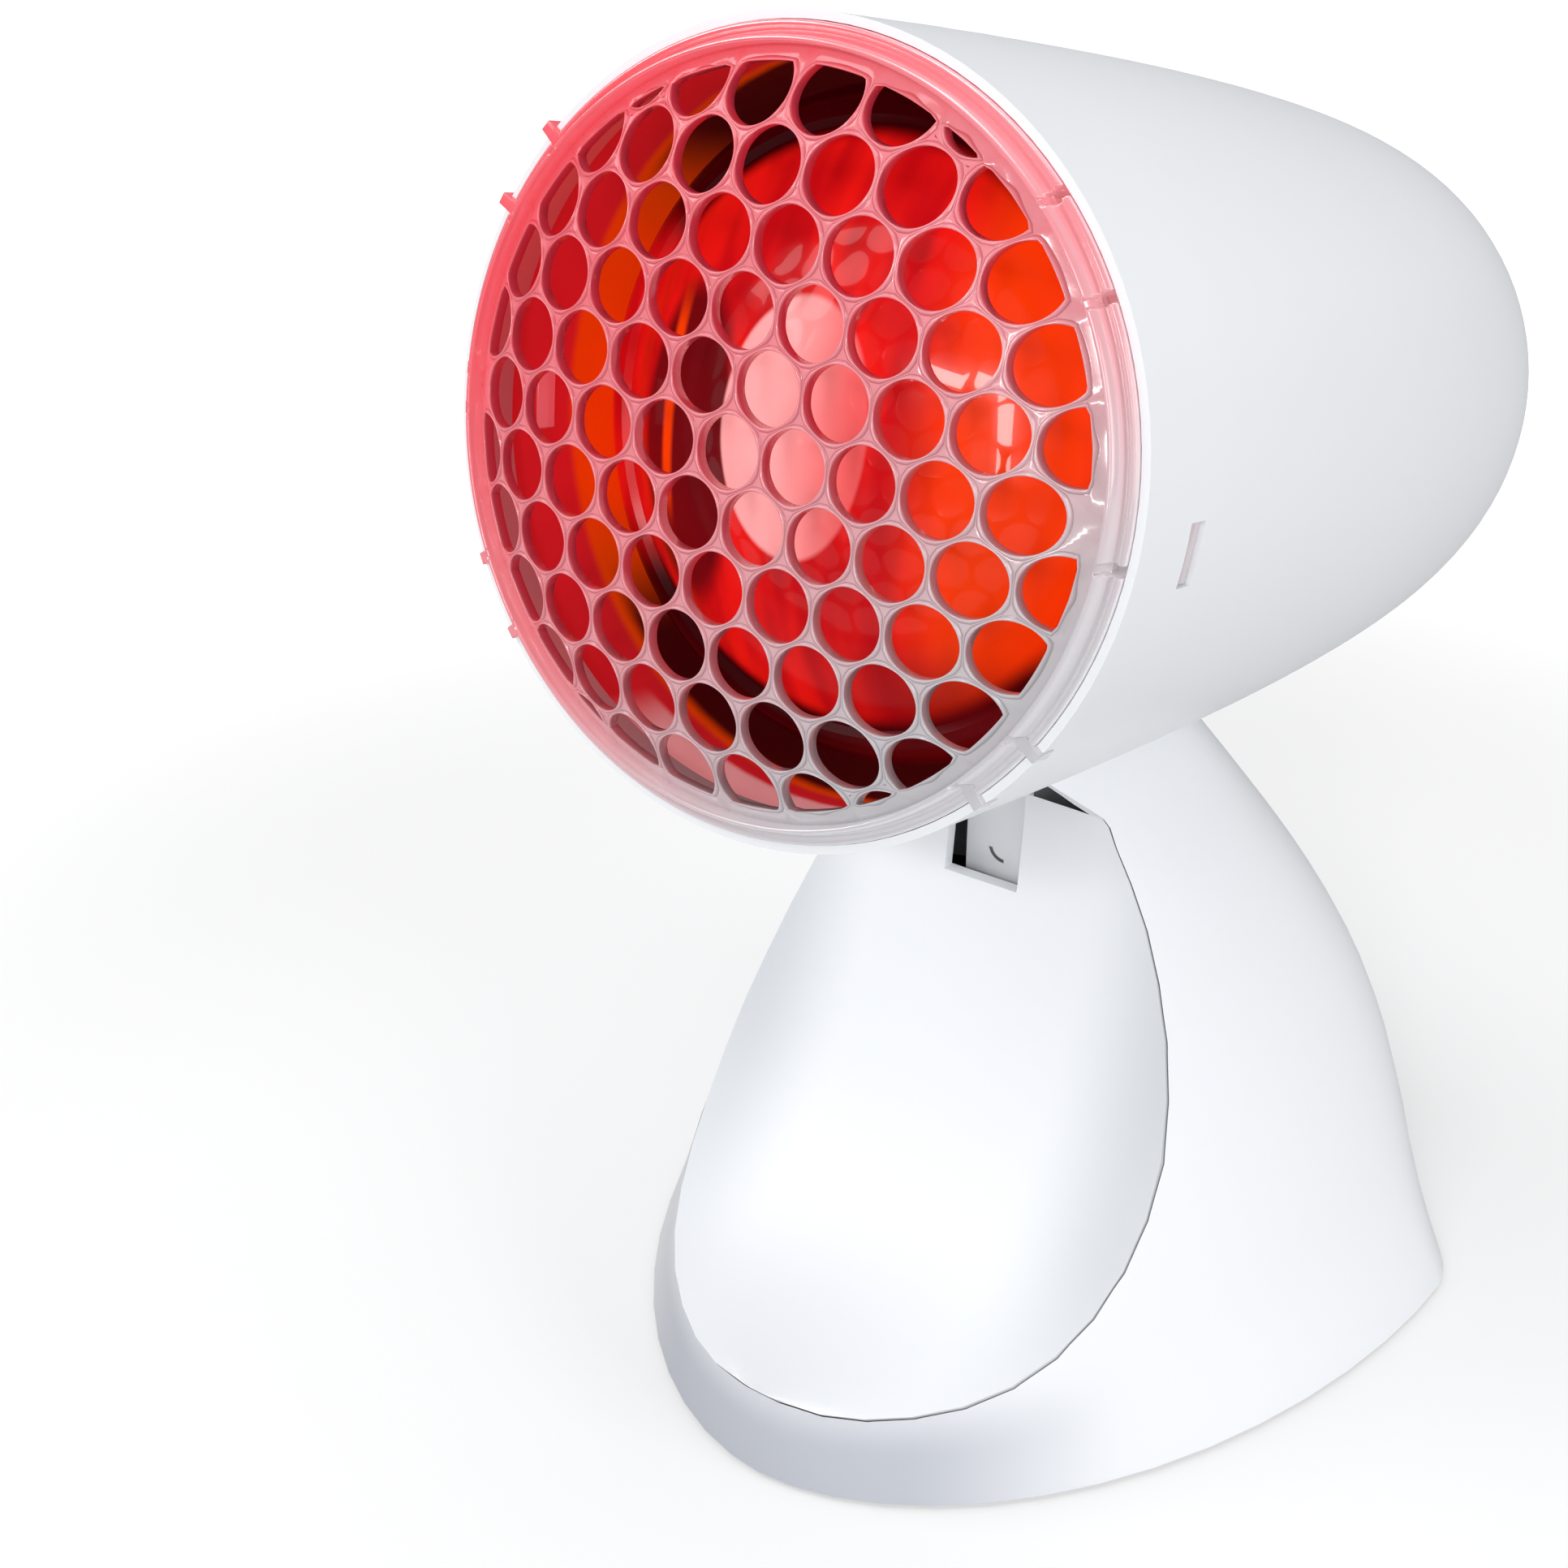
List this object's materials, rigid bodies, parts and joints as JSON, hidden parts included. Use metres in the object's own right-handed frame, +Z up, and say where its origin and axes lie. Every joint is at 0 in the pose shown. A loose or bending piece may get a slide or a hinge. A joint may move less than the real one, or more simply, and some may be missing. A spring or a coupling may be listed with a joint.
{
  "type": "infrared heat therapy lamp",
  "caption": "Bullet-shaped infrared lamp head with a domed honeycomb grille and a red reflector bulb, tilting on a low moulded stand with a rear rocker switch",
  "frame": {"origin": "under the middle of the whole lamp's box, on the table", "axes": "+Z up, the lamp shines towards -Y, +X is to the right as seen from in front of the lamp"},
  "size_m": [0.1202, 0.172, 0.1921],
  "materials": {
    "white_plastic": "pale cool white moulded plastic, satin gloss",
    "clear_plastic": "frosted clear plastic that takes the red of the bulb behind it",
    "red_glass": "ruby red glass, polished, silvered inside its rear half",
    "brass": "plain stamped brass",
    "steel": "zinc plated steel",
    "ceramic": "glazed white ceramic",
    "black_plastic": "black moulded plastic, fine spark texture",
    "rubber": "dark grey rubber"
  },
  "bodies": {
    "stand": {"stand_shell": "white_plastic", "front_panel": "white_plastic", "base_plate": "black_plastic", "feet": "rubber", "base_screws": "steel", "hinge_yoke": "black_plastic", "yoke_screws": "steel", "hinge_pin": "steel", "pin_clip": "steel", "thrust_washers": "brass", "detent_ball": "steel", "detent_spring": "steel", "cable_gland": "black_plastic", "terminal_block": "ceramic", "terminal_screws": "brass", "switch_frame": "black_plastic", "switch_terminals": "brass"},
    "head": {"head_housing": "white_plastic", "grille": "clear_plastic", "bulb_glass": "red_glass", "bulb_cap": "brass", "bulb_contact": "steel", "filament": "steel", "holder_body": "ceramic", "holder_shell": "brass", "holder_contact": "brass", "holder_bracket": "steel", "holder_screws": "steel", "tilt_arm": "white_plastic", "arm_screws": "steel"},
    "rocker": {"switch_rocker": "black_plastic"}
  },
  "joints": [
    {"name": "head_tilt", "type": "hinge", "parent": "stand", "child": "head", "pos_m": [0, 0.00287, 0.074], "axis": [-1, 0, 0], "range_deg": [0, 37.5]},
    {"name": "switch_rock", "type": "hinge", "parent": "stand", "child": "rocker", "pos_m": [0, 0.04688, 0.031], "axis": [-1, 0, 0], "range_deg": [0, 16]}
  ]
}
